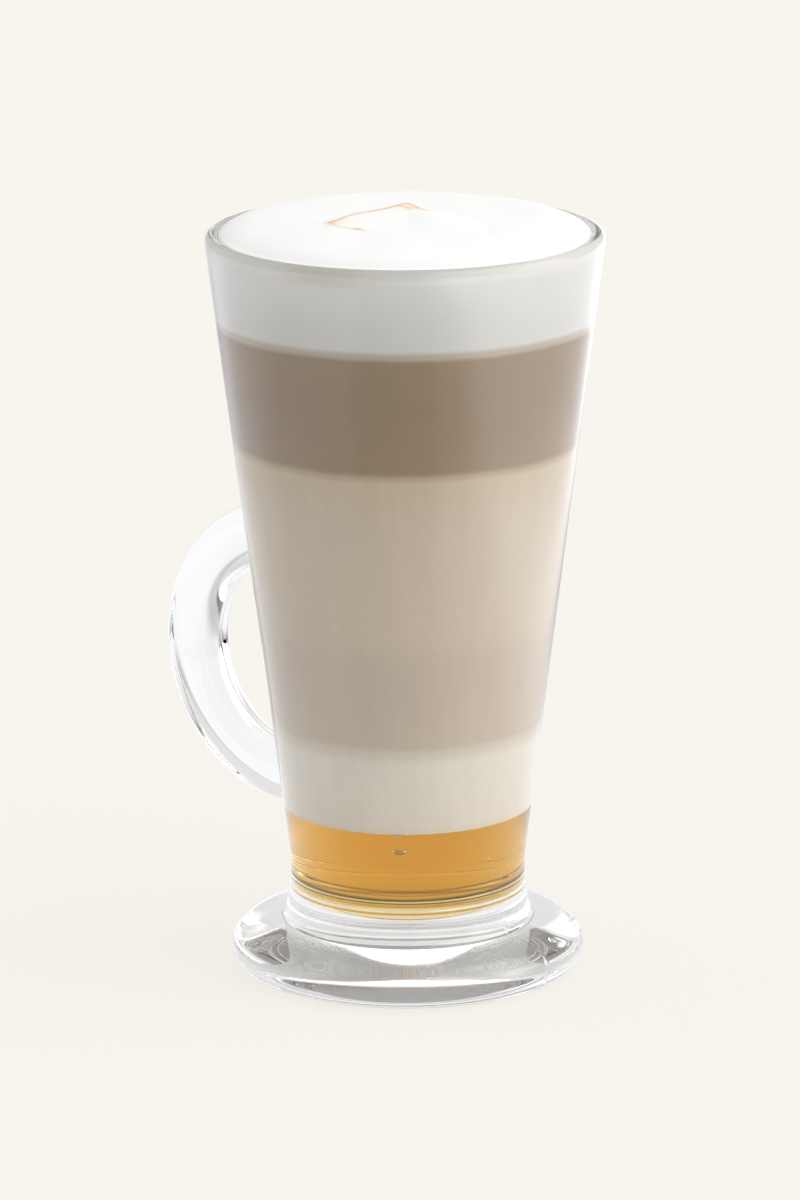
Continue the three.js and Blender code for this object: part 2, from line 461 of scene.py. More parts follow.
def mirrored_in_glass(tree):
    """One for a straight look that the glass mirrored within itself, else nought.

    A look that crossed the drink, or that the drink scattered, does not count.
    """
    path = add_node(tree, "ShaderNodeLightPath").outputs
    tests = (
        ("Glossy Depth", "GREATER_THAN", 0.5),
        ("Transmission Depth", "LESS_THAN", 2.5),
        ("Diffuse Depth", "LESS_THAN", 0.5),
    )
    share = 1.0
    for depth, test, limit in tests:
        holds = add_node(tree, "ShaderNodeMath", {0: path[depth], 1: limit}, operation=test).outputs[0]
        share = add_node(tree, "ShaderNodeMath", {0: share, 1: holds}, operation="MULTIPLY").outputs[0]
    return share


def wetted_glass():
    """Pressed glass against the syrup: clear to look through, with a painted reflection of dull grey where
    the foot mirrors it.
    """
    material, tree, output = new_material("pressed glass wetted by syrup")
    through = add_node(tree, "ShaderNodeBsdfPrincipled", {**POLISHED, "IOR": GLASS_IOR / SYRUP_IOR})
    dull = add_node(tree, "ShaderNodeBsdfDiffuse", {"Color": DULL})
    below = add_node(tree, "ShaderNodeNewGeometry").outputs["Backfacing"]
    share = add_node(tree, "ShaderNodeMath", {0: mirrored_in_glass(tree), 1: below}, operation="MULTIPLY")
    either = add_node(tree, "ShaderNodeMixShader", {
        "Fac": share.outputs[0], 1: through.outputs["BSDF"], 2: dull.outputs["BSDF"]})
    tree.links.new(either.outputs["Shader"], output.inputs["Surface"])
    return material


def stippled_glass():
    """The stippled standing ring: tiny rounded bumps that scatter light into sparks."""
    material, tree, output = new_material("stippled pressed glass")
    place = add_node(tree, "ShaderNodeTexCoord").outputs["Object"]
    grain = add_node(tree, "ShaderNodeTexVoronoi", {"Vector": place, "Scale": per_mm(0.22)})
    bumps = add_node(tree, "ShaderNodeBump", {
        "Height": grain.outputs["Distance"], "Strength": 0.5, "Distance": 0.05 * MM})
    shader = add_node(tree, "ShaderNodeBsdfPrincipled", {
        **POLISHED, "Roughness": 0.3, "IOR": GLASS_IOR, "Normal": bumps.outputs["Normal"]})
    tree.links.new(shader.outputs["BSDF"], output.inputs["Surface"])
    return material


CLEAR, WETTED, STIPPLED = range(3)


class LATTE_OT_add_glass(bpy.types.Operator):
    """Build the pressed glass mug with its foot and handle"""
    bl_idname = "latte.add_glass"
    bl_label = "Add glass"

    def execute(self, context):
        mug = context.scene.latte_mug
        bowl = mesh_object("bowl_form", bowl_mesh(mug))
        handle = mesh_object("handle_form", handle_mesh(mug))
        for form in (bowl, handle):
            outward(form.data)
        self.mark_faces(mug, bowl.data)
        join = bowl.modifiers.new("handle", "BOOLEAN")
        join.operation = "UNION"
        join.solver = "EXACT"
        join.object = handle
        mesh = plain_mesh(bowl, "glass_mug")
        for form in (bowl, handle):
            bpy.data.objects.remove(form)
        mesh.materials[CLEAR] = pressed_glass()
        mesh.materials[WETTED] = wetted_glass()
        mesh.materials[STIPPLED] = stippled_glass()
        finish_piece("glass_mug", mesh, "glass", "glass")
        return {"FINISHED"}

    def mark_faces(self, mug, mesh):
        """Give the faces against the syrup and the standing ring slots of their own."""
        for _ in range(3):
            mesh.materials.append(None)
        milk_middle = (LAYER_TOPS["syrup"] + LAYER_TOPS["milk"]) / 2
        for face in mesh.polygons:
            centre = face.center
            radius = math.hypot(centre.x - AXIS_X, centre.y)
            inside = radius < inner_radius(mug, centre.z) + mug.wall / 2
            if inside and mug.inner_floor - MM / 2 < centre.z < milk_middle:
                face.material_index = WETTED
            elif centre.z < MM / 10 and mug.ring_inner < radius < mug.stipple_outer:
                face.material_index = STIPPLED


# Painted shade: dark rings in the syrup's colour where its rounded corner turns light away: height and half
# width in millimetres, and depth.
SYRUP_RINGS = ((17.4, 0.3, 0.5), (18.8, 0.9, 0.97), (19.9, 0.3, 0.6), (20.8, 0.5, 0.8))


def clear_syrup(drink):
    """Clear caramel syrup: amber that deepens with the way light takes through it.

    Where its rounded corner turns light away, fine dark rings of painted shade lie on the near side.
    """
    material, tree, output = new_material("clear caramel syrup")
    place = add_node(tree, "ShaderNodeTexCoord").outputs["Object"]
    height = add_node(tree, "ShaderNodeSeparateXYZ", {"Vector": place}).outputs["Z"]
    far = add_node(tree, "ShaderNodeNewGeometry").outputs["Backfacing"]
    clear = POLISHED["Base Color"]
    # Painted shade: each ring darkens the syrup's colour on the near side of its faces.
    for ring, half_width, depth in SYRUP_RINGS:
        dark = ring_at(tree, height, ring, half_width, depth)
        near = add_node(tree, "ShaderNodeMath", {0: dark, 1: far}, operation="SUBTRACT", use_clamp=True)
        clear = add_node(tree, "ShaderNodeMix", {
            "Factor": near.outputs[0], 6: clear, 7: (0.0, 0.0, 0.0, 1.0)}, data_type="RGBA").outputs[2]
    shader = add_node(tree, "ShaderNodeBsdfPrincipled", {**POLISHED, "Base Color": clear, "IOR": 1.0})
    taken = [-math.log(value) / (10 * MM) for value in drink.syrup]
    density = max(taken)
    tint = [1 - value / density for value in taken]
    absorb = add_node(tree, "ShaderNodeVolumeAbsorption", {"Color": (*tint, 1.0), "Density": density})
    tree.links.new(shader.outputs["BSDF"], output.inputs["Surface"])
    tree.links.new(absorb.outputs["Volume"], output.inputs["Volume"])
    return material


class LATTE_OT_add_syrup(bpy.types.Operator):
    """Build the syrup that fills the rounded bottom of the bowl"""
    bl_idname = "latte.add_syrup"
    bl_label = "Add syrup"

    def execute(self, context):
        mug, drink = context.scene.latte_mug, context.scene.latte_drink
        over, top = drink.overlap, LAYER_TOPS["syrup"]
        corner = corner_centre(mug)
        round_size = mug.inner_corner + over
        outline = [(0.0, mug.inner_floor - over)]
        outline += stretch(outline[0], (corner[0], mug.inner_floor - over), 6)
        outline += arc(corner, (round_size, round_size), -90, 0, 14)
        run_to(outline, (inner_radius(mug, top) + over, top), 6)
        run_to(outline, (0.0, top), 8)
        mesh = turned_mesh("syrup_layer", outline, full_turn(TURN_STEP))
        outward(mesh)
        mesh.materials.append(clear_syrup(drink))
        finish_piece("syrup_layer", mesh, "syrup", "syrup")
        return {"FINISHED"}


# Air caught in the syrup behind the front wall: turn to the right of the front in degrees, height,
# half width and half height in millimetres.
BUBBLES = (
    (-4.7, 29.3, 1.4, 0.75),
    (-4.7, 32.8, 1.3, 0.45),
    (-43.0, 32.7, 0.32, 0.3),
    (-29.5, 32.8, 0.34, 0.3),
    (47.0, 25.7, 0.34, 0.34),
)
# How far the bubbles stay clear of the wall, in millimetres.
BUBBLE_GAP = 0.2


def trapped_air():
    """Air bubble in syrup: clear, with a dark rim where it turns light away."""
    material, tree, output = new_material("air bubble in syrup")
    place = add_node(tree, "ShaderNodeTexCoord").outputs["Object"]
    skin = add_node(tree, "ShaderNodeTexNoise", {"Vector": place, "Scale": per_mm(1.0)})
    bump = add_node(tree, "ShaderNodeBump", {
        "Height": skin.outputs["Fac"], "Strength": 0.1, "Distance": 0.05 * MM})
    shader = add_node(tree, "ShaderNodeBsdfPrincipled", {
        **POLISHED, "IOR": SYRUP_IOR, "Normal": bump.outputs["Normal"]})
    tree.links.new(shader.outputs["BSDF"], output.inputs["Surface"])
    return material


def new_tree(name, inputs):
    """A tree of geometry nodes: the tree, what is given to it, and its inputs' identifiers."""
    tree = bpy.data.node_groups.new(name, "GeometryNodeTree")
    identifiers = {}
    for label, kind in inputs.items():
        socket = tree.interface.new_socket(label, in_out="INPUT", socket_type="NodeSocket" + kind)
        identifiers[label] = socket.identifier
    tree.interface.new_socket("Mesh", in_out="OUTPUT", socket_type="NodeSocketGeometry")
    return tree, add_node(tree, "NodeGroupInput").outputs, identifiers


def end_tree(tree, given, shape):
    """End a tree of geometry nodes with real faces in the given material."""
    real = add_node(tree, "GeometryNodeRealizeInstances", {"Geometry": shape})
    painted = add_node(tree, "GeometryNodeSetMaterial", {
        "Geometry": real.outputs[0], "Material": given["Material"]})
    add_node(tree, "NodeGroupOutput", {"Mesh": painted.outputs[0]})


def grown_mesh(name, seed_mesh, tree, identifiers, values):
    """The mesh that a tree of geometry nodes makes from a first mesh and its inputs' values."""
    form = mesh_object(name + "_form", seed_mesh)
    modifier = form.modifiers.new(name, "NODES")
    modifier.node_group = tree
    for label, value in values.items():
        modifier[identifiers[label]] = value
    mesh = plain_mesh(form, name)
    bpy.data.objects.remove(form)
    return mesh


def bubble_tree():
    """Geometry nodes that put a round bubble of its own size on every point."""
    tree, given, identifiers = new_tree("bubbles", {"Points": "Geometry", "Material": "Material"})
    size = add_node(tree, "GeometryNodeInputNamedAttribute", {"Name": "size"}, data_type="FLOAT_VECTOR")
    ball = add_node(tree, "GeometryNodeMeshIcoSphere", {"Radius": 1.0, "Subdivisions": 4})
    placed = add_node(tree, "GeometryNodeInstanceOnPoints", {
        "Points": given["Points"], "Instance": ball.outputs["Mesh"], "Scale": size.outputs[0]})
    end_tree(tree, given, placed.outputs[0])
    return tree, identifiers


class LATTE_OT_add_bubbles(bpy.types.Operator):
    """Build the few air bubbles that hang in the syrup"""
    bl_idname = "latte.add_bubbles"
    bl_label = "Add bubbles"

    def execute(self, context):
        mug, studio = context.scene.latte_mug, context.scene.latte_studio
        places, sizes = [], []
        for degrees, height, half_width, half_height in BUBBLES:
            turn = studio.azimuth - math.pi / 2 + math.radians(degrees)
            reach = inner_radius(mug, height * MM) - (half_width + BUBBLE_GAP) * MM
            places.append((AXIS_X + reach * math.cos(turn), reach * math.sin(turn), height * MM))
            sizes.append((half_width * MM, half_width * MM, half_height * MM))
        points = bpy.data.meshes.new("bubble_points")
        points.from_pydata(places, [], [])
        size = points.attributes.new("size", "FLOAT_VECTOR", "POINT")
        for item, value in zip(size.data, sizes):
            item.vector = value
        mesh = grown_mesh("syrup_bubbles", points, *bubble_tree(), {"Material": trapped_air()})
        finish_piece("syrup_bubbles", mesh, "syrup")
        return {"FINISHED"}


# Width and height in millimetres of the slow drifts in a layer and of its upright veins.
DRIFT_SIZE = (16.0, 40.0)
VEIN_SIZE = (3.0, 60.0)


def layer_material(name, low, high, stops, streaks):
    """An opaque layer of milk and coffee: its colour drifts with height and in faint streaks."""
    material, tree, output = new_material(name)
    place = add_node(tree, "ShaderNodeTexCoord").outputs["Object"]
    height = add_node(tree, "ShaderNodeSeparateXYZ", {"Vector": place}).outputs["Z"]
    drifts, veins = [
        add_node(tree, "ShaderNodeMapping", {
            "Vector": place, "Scale": (per_mm(wide), per_mm(wide), per_mm(tall))}).outputs["Vector"]
        for wide, tall in (DRIFT_SIZE, VEIN_SIZE)]
    drift = add_node(tree, "ShaderNodeTexNoise", {
        "Vector": drifts, "Scale": 1.0, "Detail": 3.0}).outputs["Fac"]
    wander = add_node(tree, "ShaderNodeMath", {0: drift, 1: 0.5}, operation="SUBTRACT").outputs[0]
    moved = add_node(tree, "ShaderNodeMath", {
        0: wander, 1: streaks * MM, 2: height}, operation="MULTIPLY_ADD")
    share = add_node(tree, "ShaderNodeMapRange", {
        "Value": moved.outputs[0], "From Min": low, "From Max": high})
    ramp = add_node(tree, "ShaderNodeValToRGB", {"Fac": share.outputs["Result"]})
    ramp.color_ramp.interpolation = "EASE"
    while len(ramp.color_ramp.elements) < len(stops):
        ramp.color_ramp.elements.new(0.5)
    for element, (place_on, value) in zip(ramp.color_ramp.elements, stops):
        element.position = place_on
        element.color = (*value, 1.0)
    shade = ramp.outputs["Color"]
    for vector, scale, depth in ((veins, 1.0, 0.035), (place, per_mm(0.7), 0.03)):
        spots = add_node(tree, "ShaderNodeTexNoise", {"Vector": vector, "Scale": scale, "Detail": 2.0})
        level = add_node(tree, "ShaderNodeMapRange", {
            "Value": spots.outputs["Fac"], "From Min": 0.3, "From Max": 0.7,
            "To Min": 1 - depth, "To Max": 1.0})
        shade = add_node(tree, "ShaderNodeMix", {
            "Factor": 1.0, 6: shade, 7: level.outputs["Result"]},
            data_type="RGBA", blend_type="MULTIPLY").outputs[2]
    # Painted reflection: where foot or handle mirror the layer within their glass, dull grey shows in its
    # place.
    shade = add_node(tree, "ShaderNodeMix", {
        "Factor": mirrored_in_glass(tree), 6: shade, 7: DULL}, data_type="RGBA").outputs[2]
    shader = add_node(tree, "ShaderNodeBsdfPrincipled", {
        "Base Color": shade, "Roughness": 0.5, "Specular IOR Level": 0.0})
    tree.links.new(shader.outputs["BSDF"], output.inputs["Surface"])
    return material


def between(one, two, tint=(1.0, 1.0, 1.0)):
    """The colour half way between two, tinted."""
    return tuple((a + b) / 2 * c for a, b, c in zip(one, two, tint))


def layer_tree():
    """Geometry nodes that make one layer: a cut cone with slightly uneven faces."""
    sizes = dict.fromkeys(("Bottom", "Top", "Lower Radius", "Upper Radius", "Axis", "Ripple"), "Float")
    tree, given, identifiers = new_tree("drink_layer", {**sizes, "Material": "Material"})
    depth = add_node(tree, "ShaderNodeMath", {0: given["Top"], 1: given["Bottom"]}, operation="SUBTRACT")
    cone = add_node(tree, "GeometryNodeMeshCone", {
        "Vertices": 240, "Side Segments": 24, "Fill Segments": 12,
        "Radius Bottom": given["Lower Radius"], "Radius Top": given["Upper Radius"],
        "Depth": depth.outputs[0]})
    place = add_node(tree, "GeometryNodeInputPosition").outputs[0]
    spots = add_node(tree, "ShaderNodeTexNoise", {"Vector": place, "Scale": per_mm(12.0), "Detail": 1.0})
    centred = add_node(tree, "ShaderNodeMath", {0: spots.outputs["Fac"], 1: 0.5}, operation="SUBTRACT")
    uneven = add_node(tree, "ShaderNodeMath", {
        0: centred.outputs[0], 1: given["Ripple"], 2: given["Bottom"]}, operation="MULTIPLY_ADD")
    offset = add_node(tree, "ShaderNodeCombineXYZ", {"X": given["Axis"], "Z": uneven.outputs[0]})
    moved = add_node(tree, "GeometryNodeSetPosition", {
        "Geometry": cone.outputs["Mesh"], "Offset": offset.outputs[0]})
    end_tree(tree, given, moved.outputs[0])
    return tree, identifiers


# Where coffee thins out over milk, it looks more tan than either.
TAN = (1.0, 0.96, 0.86)


class LATTE_OT_add_layers(bpy.types.Operator):
    """Build the opaque layers of milk, milky coffee and coffee"""
    bl_idname = "latte.add_layers"
    bl_label = "Add milk and coffee layers"

    def execute(self, context):
        drink, mug = context.scene.latte_drink, context.scene.latte_mug
        syrup_edge = between(drink.milk_low, drink.syrup)
        milk_edge = between(drink.milk_high, drink.latte_low)
        coffee_edge = between(drink.latte_high, between(drink.latte_high, drink.coffee_low, TAN))
        foam_edge = between(drink.coffee_high, drink.foam, TAN)
        # Node, what it lies on, what it is, height of its streaks in millimetres, and colours on the way up.
        layers = (
            ("milk", "syrup", "steamed milk", 0.8,
             ((0.0, syrup_edge), (0.1, drink.milk_low), (0.84, drink.milk_high), (1.0, milk_edge))),
            ("latte", "milk", "milk with coffee", 1.2,
             ((0.0, milk_edge), (0.03, drink.latte_low), (0.3, drink.latte_low),
              (0.45, drink.latte_middle), (0.8, drink.latte_middle), (0.985, drink.latte_high),
              (1.0, coffee_edge))),
            ("coffee", "latte", "coffee with milk", 0.8,
             ((0.0, coffee_edge), (0.07, drink.coffee_low), (0.95, drink.coffee_high), (1.0, foam_edge))),
        )
        tree, identifiers = layer_tree()
        for node, below, words, streaks, stops in layers:
            bottom, top = LAYER_TOPS[below] - drink.ripple, LAYER_TOPS[node]
            name = node + "_layer"
            values = {
                "Bottom": bottom, "Top": top, "Axis": AXIS_X, "Ripple": drink.ripple,
                "Lower Radius": inner_radius(mug, bottom) + drink.overlap,
                "Upper Radius": inner_radius(mug, top) + drink.overlap,
                "Material": layer_material(words, bottom, top, stops, streaks),
            }
            mesh = grown_mesh(name, bpy.data.meshes.new(name + "_form"), tree, identifiers, values)
            finish_piece(name, mesh, node, node)
        return {"FINISHED"}


# Share at the middle, and its growth for each edge radius towards the back: of the crown's fuller
# back, and of the edge's lift.
BANK_RISE = (0.5, 2.0)
LIFT_RISE = (0.25, 1.5)
# Soft lumps in the foam: size and height in millimetres.
LUMPS = (11.0, 0.25)
# The lumps end at the wall: the higher, the steeper.
LUMPS_END = 3.0
# The fold of the dollop from its left end over the tip to the right, and the hook that runs from its
# left end to the front: places right of and behind the mug's axis in millimetres, seen from the camera.
FOLD = (
    (-14.5, -2.1), (-12.8, 0.0), (-11.5, 2.0), (-10.1, 3.6), (-7.5, 5.0), (-4.8, 6.3), (-2.2, 7.6),
    (-0.6, 8.4), (0.6, 8.8), (1.8, 7.6), (3.1, 6.0), (5.1, 4.2), (8.4, 2.8), (11.1, 0.5), (13.7, -2.3))
HOOK = ((-14.5, -2.7), (-14.2, -5.0), (-13.5, -6.8), (-11.5, -8.6), (-9.5, -9.5), (-7.8, -10.7))
TIP = (0.5, 8.0)
# The tan line lies this far in front of the fold, and fades to the right: where it ends, and over
# which length.
LINE_SHIFT = 0.6
LINE_FADE = (12.0, 13.0)
HOOK_STRENGTH = 0.5
# Short tan streaks beside the tip, with their strength and half width.
STREAKS = (
    ((-1.6, 7.0), (2.6, 5.2)),
    ((0.2, 8.8), (4.4, 4.0)),
    ((-0.4, 6.2), (1.4, 4.6)),
)
STREAK_STRENGTH = 0.4
STREAK_WIDTH = 0.4
# Round tan spots on the foam: place in millimetres as above, radius and strength.
SPOTS = (
    ((-13.9, -2.8), 2.4, 0.36),
    ((-9.3, -9.4), 0.7, 0.9),
    ((0.9, 6.2), 1.9, 0.3),
)
# Tan smear behind the glass: strength, turn to the left of the front and its spread in degrees, depth
# below the foam's edge and its spread in millimetres.
SMEAR = (0.4, 25.0, 13.0, 2.0, 1.2)
# Grey at the foam's edge, most towards the front: strength and width in millimetres of a narrow line at the
# wall, partly thin foam and partly painted shade, and of a wide band of painted shade on top, which starts a
# little away from the wall.
THIN_AND_SHADE_LINE = (0.6, 0.5)
SHADE_BAND = (0.1, 5.0)
SHADE_BAND_START = 0.3


def seen_from_camera(foam, x, y):
    """A place on the foam, right of and behind the mug's axis, in millimetres."""
    across = x * math.cos(foam.turn) + y * math.sin(foam.turn)
    away = y * math.cos(foam.turn) - x * math.sin(foam.turn)
    return Vector((across, away)) / MM


def clamped(value):
    """A value kept between nought and one."""
    return min(1.0, max(0.0, value))


def off_line(corners, place):
    """Distance from a line of straight stretches."""
    nearest = math.inf
    for first, last in zip(corners, corners[1:]):
        share = geometry.intersect_point_line(place.to_3d(), (*first, 0.0), (*last, 0.0))[1]
        spot = Vector(first).lerp(Vector(last), clamped(share))
        nearest = min(nearest, (spot - place).length)
    return nearest


def past_fold(place):
    """How far a place lies behind the fold."""
    for first, last in zip(FOLD, FOLD[1:]):
        if place.x <= last[0] or last == FOLD[-1]:
            share = (place.x - first[0]) / (last[0] - first[0])
            return place.y - first[1] - (last[1] - first[1]) * max(0.0, share)


def foam_relief(foam, edge, x, y):
    """Height of the foam above its edge: crown, dollop up to its fold, and folded tip."""
    place = seen_from_camera(foam, x, y)
    bank, lift = [
        most * clamped(middle + growth * place.y * MM / edge)
        for most, (middle, growth) in ((foam.bank, BANK_RISE), (foam.back_lift, LIFT_RISE))]
    fullness = foam.fullness + bank
    outwards = min(1.0, (math.hypot(x, y) / edge) ** fullness)
    crown = foam.crown * (1 - outwards) + lift * outwards
    arch = max(0.0, 1 - (place.x * MM / foam.dollop_half_width) ** 2)
    past = past_fold(place) * MM
    run = foam.fold_drop if past > 0 else foam.dollop_run
    dollop = foam.dollop_height * arch * math.exp(-(past / run) ** 2)
    tip = foam.tip_height * math.exp(-((place - Vector(TIP)).length * MM / foam.tip_radius) ** 2)
    lumps = noise.noise(Vector((x, y, 0.0)) * per_mm(LUMPS[0])) * LUMPS[1] * MM
    return crown + dollop + tip + lumps * min(1.0, LUMPS_END * (1 - outwards))


def crema_share(foam, x, y):
    """How tan the foam is at a place: along the fold and its hook, and in a few spots."""
    place = seen_from_camera(foam, x, y)
    width = foam.line / MM
    fade = clamped((LINE_FADE[0] - place.x) / LINE_FADE[1]) ** 2
    total = fade * math.exp(-(off_line(FOLD, place + Vector((0.0, LINE_SHIFT))) / width) ** 2)
    total += HOOK_STRENGTH * math.exp(-(off_line(HOOK, place) / width) ** 2)
    for streak in STREAKS:
        total += STREAK_STRENGTH * math.exp(-(off_line(streak, place) / STREAK_WIDTH) ** 2)
    for spot, radius, strength in SPOTS:
        total += strength * math.exp(-((place - Vector(spot)).length / radius) ** 2)
    return min(1.0, total)


def smear_share(foam, x, y, z):
    """How tan the foam is behind the glass: a smear under the rim, left of the front."""
    strength, left, left_spread, below, below_spread = SMEAR
    place = seen_from_camera(foam, x, y)
    turn = math.degrees(math.atan2(place.x, -place.y))
    down = (foam.edge - z) / MM
    return strength * math.exp(-((turn + left) / left_spread) ** 2 - ((down - below) / below_spread) ** 2)


def thin_and_shade_share(foam, edge, x, y, z):
    """How grey the foam is at its edge, most at the front's two ends: a narrow line at the wall, partly foam
    thinning out there and partly painted shade, and a band of painted shade on top.
    """
    place = seen_from_camera(foam, x, y)
    middle = max(place.length, 1.0)
    front = 0.5 - 0.5 * place.y / middle
    ends = (place.x / middle) ** 4
    inwards, down = edge / MM - place.length, (foam.edge - z) / MM
    line = THIN_AND_SHADE_LINE[0] * ends * math.exp(-(max(inwards, down) / THIN_AND_SHADE_LINE[1]) ** 2)
    band = SHADE_BAND[0] * math.exp(-(inwards / SHADE_BAND[1]) ** 2) if inwards > SHADE_BAND_START else 0.0
    return front * (line + band)


# Heights in millimetres over which the foam is soaked with coffee at its bottom, and over which it turns to
# the crown's painted shade below the rim.
SOAKED = 1.5
CROWN_SHADE_RISE = 1.2
# Degrees between the foam's edges, and the angle past which one of them shows as a crease.
FOAM_STEP = 1.0
FOAM_CREASE = 50.0


def milk_foam(drink):
    """Fine milk foam: matt white with pin-prick bubbles, tan where the coffee stains its folds, painted
    shade on its crown, and grey at its front edge that is partly thin foam and partly painted shade.
    """
    material, tree, output = new_material("fine milk foam")
    place = add_node(tree, "ShaderNodeTexCoord").outputs["Object"]
    height = add_node(tree, "ShaderNodeSeparateXYZ", {"Vector": place}).outputs["Z"]
    soaked = add_node(tree, "ShaderNodeMapRange", {
        "Value": height, "From Min": LAYER_TOPS["coffee"], "From Max": LAYER_TOPS["coffee"] + SOAKED * MM,
        "To Min": 1.0, "To Max": 0.0}, interpolation_type="SMOOTHERSTEP").outputs["Result"]
    # Painted shade: just below the rim the foam turns to the crown's darker colour.
    crown_shade = add_node(tree, "ShaderNodeMapRange", {
        "Value": height, "From Min": RIM_HEIGHT - CROWN_SHADE_RISE * MM, "From Max": RIM_HEIGHT}).outputs["Result"]
    body = add_node(tree, "ShaderNodeMix", {
        "Factor": crown_shade, 6: (*drink.foam, 1.0), 7: (*drink.foam_crown_shade, 1.0)}, data_type="RGBA").outputs[2]
    body = add_node(tree, "ShaderNodeMix", {
        "Factor": soaked, 6: body, 7: (*between(drink.coffee_high, drink.foam, TAN), 1.0)},
        data_type="RGBA").outputs[2]
    # Grey at the foam's front edge: partly thin foam, partly painted shade.
    thin_and_shade = add_node(tree, "ShaderNodeAttribute", attribute_name="thin_and_shade").outputs["Fac"]
    body = add_node(tree, "ShaderNodeMix", {
        "Factor": thin_and_shade, 6: body, 7: (*drink.foam_thin_and_shade, 1.0)}, data_type="RGBA").outputs[2]
    stain = add_node(tree, "ShaderNodeAttribute", attribute_name="crema").outputs["Fac"]
    grain = add_node(tree, "ShaderNodeTexNoise", {"Vector": place, "Scale": per_mm(1.2), "Detail": 4.0})
    patchy = add_node(tree, "ShaderNodeMapRange", {
        "Value": grain.outputs["Fac"], "From Min": 0.3, "From Max": 0.7, "To Min": 0.6, "To Max": 1.0})
    amount = add_node(tree, "ShaderNodeMath", {
        0: stain, 1: patchy.outputs["Result"]}, operation="MULTIPLY")
    shade = add_node(tree, "ShaderNodeMix", {
        "Factor": amount.outputs[0], 6: body, 7: (*drink.crema, 1.0)}, data_type="RGBA")
    bubbles = add_node(tree, "ShaderNodeTexVoronoi", {"Vector": place, "Scale": per_mm(0.6)})
    bump = add_node(tree, "ShaderNodeBump", {
        "Height": bubbles.outputs["Distance"], "Strength": 0.15, "Distance": 0.1 * MM})
    shader = add_node(tree, "ShaderNodeBsdfPrincipled", {
        "Base Color": shade.outputs[2], "Roughness": 0.7, "Specular IOR Level": 0.1,
        "Normal": bump.outputs["Normal"]})
    tree.links.new(shader.outputs["BSDF"], output.inputs["Surface"])
    return material


class LATTE_OT_add_foam(bpy.types.Operator):
    """Build the milk foam with its crown, dollop and fold"""
    bl_idname = "latte.add_foam"
    bl_label = "Add foam"

    def execute(self, context):
        scene = context.scene
        mug, drink, foam = scene.latte_mug, scene.latte_drink, scene.latte_foam
        bottom = LAYER_TOPS["coffee"]
        edge = inner_radius(mug, foam.edge) + drink.overlap
        outline = [(0.0, bottom)]
        run_to(outline, (inner_radius(mug, bottom) + drink.overlap, bottom), 6)
        run_to(outline, (edge, foam.edge), 24)
        first_top = len(outline) - 2
        run_to(outline, (0.0, foam.edge), 140)
        angles = full_turn(FOAM_STEP)
        mesh = turned_mesh("foam_crown", outline, angles)
        outward(mesh)
        stain = mesh.attributes.new("crema", "FLOAT", "POINT")
        # How grey the foam is at its edge: partly thin foam, partly painted shade.
        thin_and_shade = mesh.attributes.new("thin_and_shade", "FLOAT", "POINT")
        top_from = 1 + first_top * len(angles)
        for vertex in mesh.vertices:
            x, y = vertex.co.x - AXIS_X, vertex.co.y
            thin_and_shade.data[vertex.index].value = thin_and_shade_share(foam, edge, x, y, vertex.co.z)
            if vertex.index >= top_from:
                vertex.co.z += foam_relief(foam, edge, x, y)
                stain.data[vertex.index].value = crema_share(foam, x, y)
            else:
                stain.data[vertex.index].value = smear_share(foam, x, y, vertex.co.z)
        mesh.materials.append(milk_foam(drink))
        finish_piece("foam_crown", mesh, "foam", "foam", crease=FOAM_CREASE)
        return {"FINISHED"}


# Share of the floor's brightness that a shadow can take, and the light that falls on it.
FLOOR_SHADOW = 0.1
FLOOR_LIGHT = 1.38


def cream_paper(studio):
    """Matt cream studio paper: even and pale, with a fine paper grain."""
    material, tree, output = new_material("matt cream studio paper")
    place = add_node(tree, "ShaderNodeTexCoord").outputs["Object"]
    grain = add_node(tree, "ShaderNodeTexNoise", {"Vector": place, "Scale": per_mm(2.0), "Detail": 2.0})
    bump = add_node(tree, "ShaderNodeBump", {
        "Height": grain.outputs["Fac"], "Strength": 0.05, "Distance": 0.1 * MM})
    paper = add_node(tree, "ShaderNodeBsdfPrincipled", {
        "Base Color": (*[FLOOR_SHADOW * v for v in studio.floor], 1.0), "Roughness": 0.9,
        "Specular IOR Level": 0.0, "Emission Color": (*studio.floor, 1.0),
        "Emission Strength": 1 - FLOOR_SHADOW * FLOOR_LIGHT, "Normal": bump.outputs["Normal"]})
    tree.links.new(paper.outputs["BSDF"], output.inputs["Surface"])
    return material


def add_lamps(tree, studio, place, total, lamps, unit=1.0):
    """Add lamps to a strength, each between two places along its direction in the camera's frame."""
    turn = Matrix.Rotation(studio.azimuth, 3, "Z")
    for direction, start, full, strength in lamps:
        towards = (turn @ Vector(direction).to_3d()).normalized()
        along = add_node(tree, "ShaderNodeVectorMath", {0: place, 1: towards}, operation="DOT_PRODUCT")
        lamp = add_node(tree, "ShaderNodeMapRange", {
            "Value": along.outputs["Value"], "From Min": start * unit, "From Max": full * unit,
            "To Max": strength}, interpolation_type="SMOOTHSTEP")
        total = add_node(tree, "ShaderNodeMath", {0: total, 1: lamp.outputs["Result"]},
                         operation="ADD").outputs[0]
    return total


# Painted pool of light on the floor under the foot, where the foot gathers light: radii in millimetres where
# it starts to fade and where it ends.
SPOT = (19.0, 25.0)


